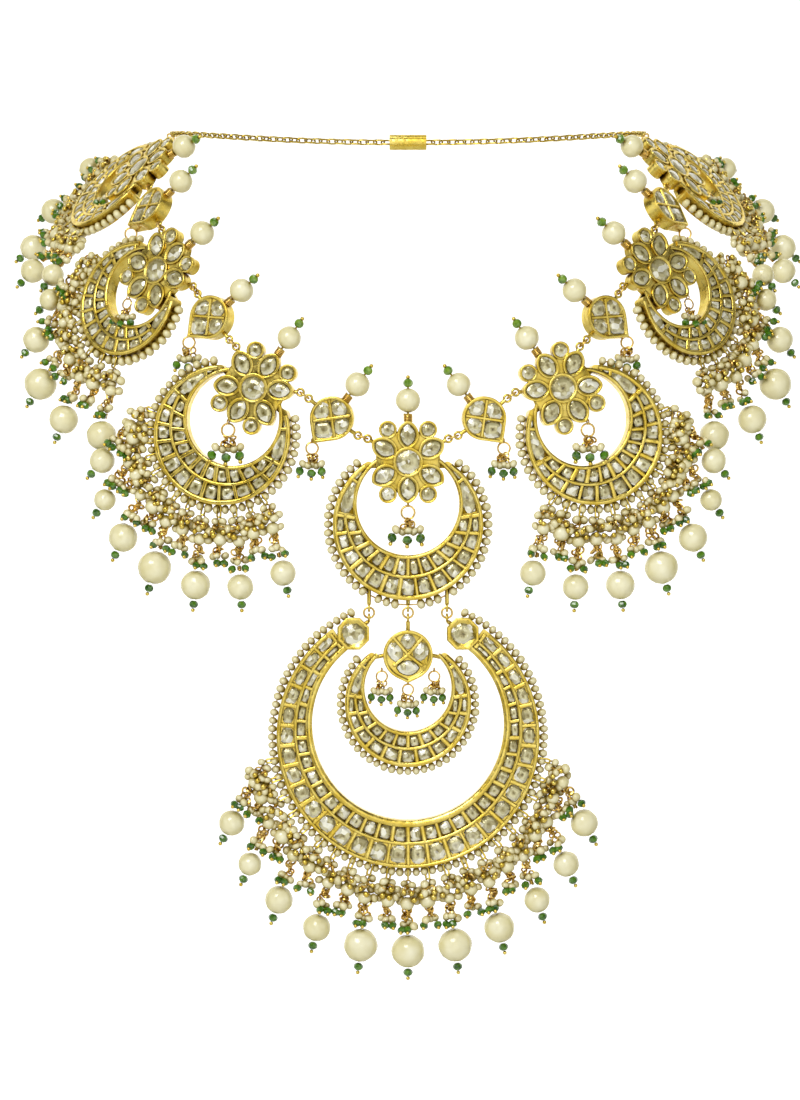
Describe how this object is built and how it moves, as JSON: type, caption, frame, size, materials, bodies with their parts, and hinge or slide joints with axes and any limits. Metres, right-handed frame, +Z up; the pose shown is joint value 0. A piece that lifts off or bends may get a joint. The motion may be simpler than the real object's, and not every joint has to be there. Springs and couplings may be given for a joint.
{
  "type": "kundan necklace",
  "caption": "Kundan collar of flower and crescent settings with leaf connectors, a large crescent pendant, and fringes of pearls and green beads.",
  "frame": {"origin": "the middle of the clasp, at the nape of the neck", "axes": "+Z up, the front with the pendant faces -Y, +X to the right of the front view"},
  "size_m": [0.2464, 0.1295, 0.2568],
  "materials": {
    "gold": "satin",
    "polki": "uncut stones on foil",
    "seed_pearls": "pearl lustre",
    "pearls": "pearl lustre",
    "bead_dangles": "pearl lustre with green glass beads"
  },
  "bodies": {
    "root": {"crescent_centre": "gold", "crescent_left_1": "gold", "crescent_left_2": "gold", "crescent_left_3": "gold", "crescent_right_1": "gold", "crescent_right_2": "gold", "crescent_right_3": "gold", "flower_centre": "gold", "flower_left_1": "gold", "flower_left_2": "gold", "flower_left_3": "gold", "flower_right_1": "gold", "flower_right_2": "gold", "flower_right_3": "gold", "flower_stones": "polki", "rim_pearls_centre": "seed_pearls", "rim_pearls_left_1": "seed_pearls", "rim_pearls_left_2": "seed_pearls", "rim_pearls_left_3": "seed_pearls", "rim_pearls_right_1": "seed_pearls", "rim_pearls_right_2": "seed_pearls", "rim_pearls_right_3": "seed_pearls", "fringe_left_1": "bead_dangles", "fringe_left_2": "bead_dangles", "fringe_left_3": "bead_dangles", "fringe_right_1": "bead_dangles", "fringe_right_2": "bead_dangles", "fringe_right_3": "bead_dangles", "drops_left_1": "pearls", "drops_left_2": "pearls", "drops_left_3": "pearls", "drops_right_1": "pearls", "drops_right_2": "pearls", "drops_right_3": "pearls", "flower_bunches": "bead_dangles", "connector_left_1": "gold", "connector_left_2": "gold", "connector_left_3": "gold", "connector_right_1": "gold", "connector_right_2": "gold", "connector_right_3": "gold", "connector_stones": "polki", "collar_pearls": "pearls", "collar_links": "gold", "pendant_links": "gold", "back_chain": "gold", "clasp": "gold"},
    "pendant": {"pendant_crescent": "gold", "pendant_stones": "polki", "pendant_rim_pearls": "seed_pearls", "pendant_fringe": "bead_dangles", "pendant_drops": "pearls"},
    "inner_drop": {"inner_drop_setting": "gold", "inner_drop_stones": "polki", "inner_drop_rim_pearls": "seed_pearls", "inner_drop_bunches": "bead_dangles"}
  },
  "joints": [
    {"name": "pendant_swing", "type": "hinge", "parent": "root", "child": "pendant", "pos_m": [0, -0.122, -0.1492], "axis": [1, 0, 0], "range_deg": [-60, 45]},
    {"name": "inner_drop_swing", "type": "hinge", "parent": "root", "child": "inner_drop", "pos_m": [0, -0.122, -0.1492], "axis": [1, 0, 0], "range_deg": [-60, 45]}
  ]
}
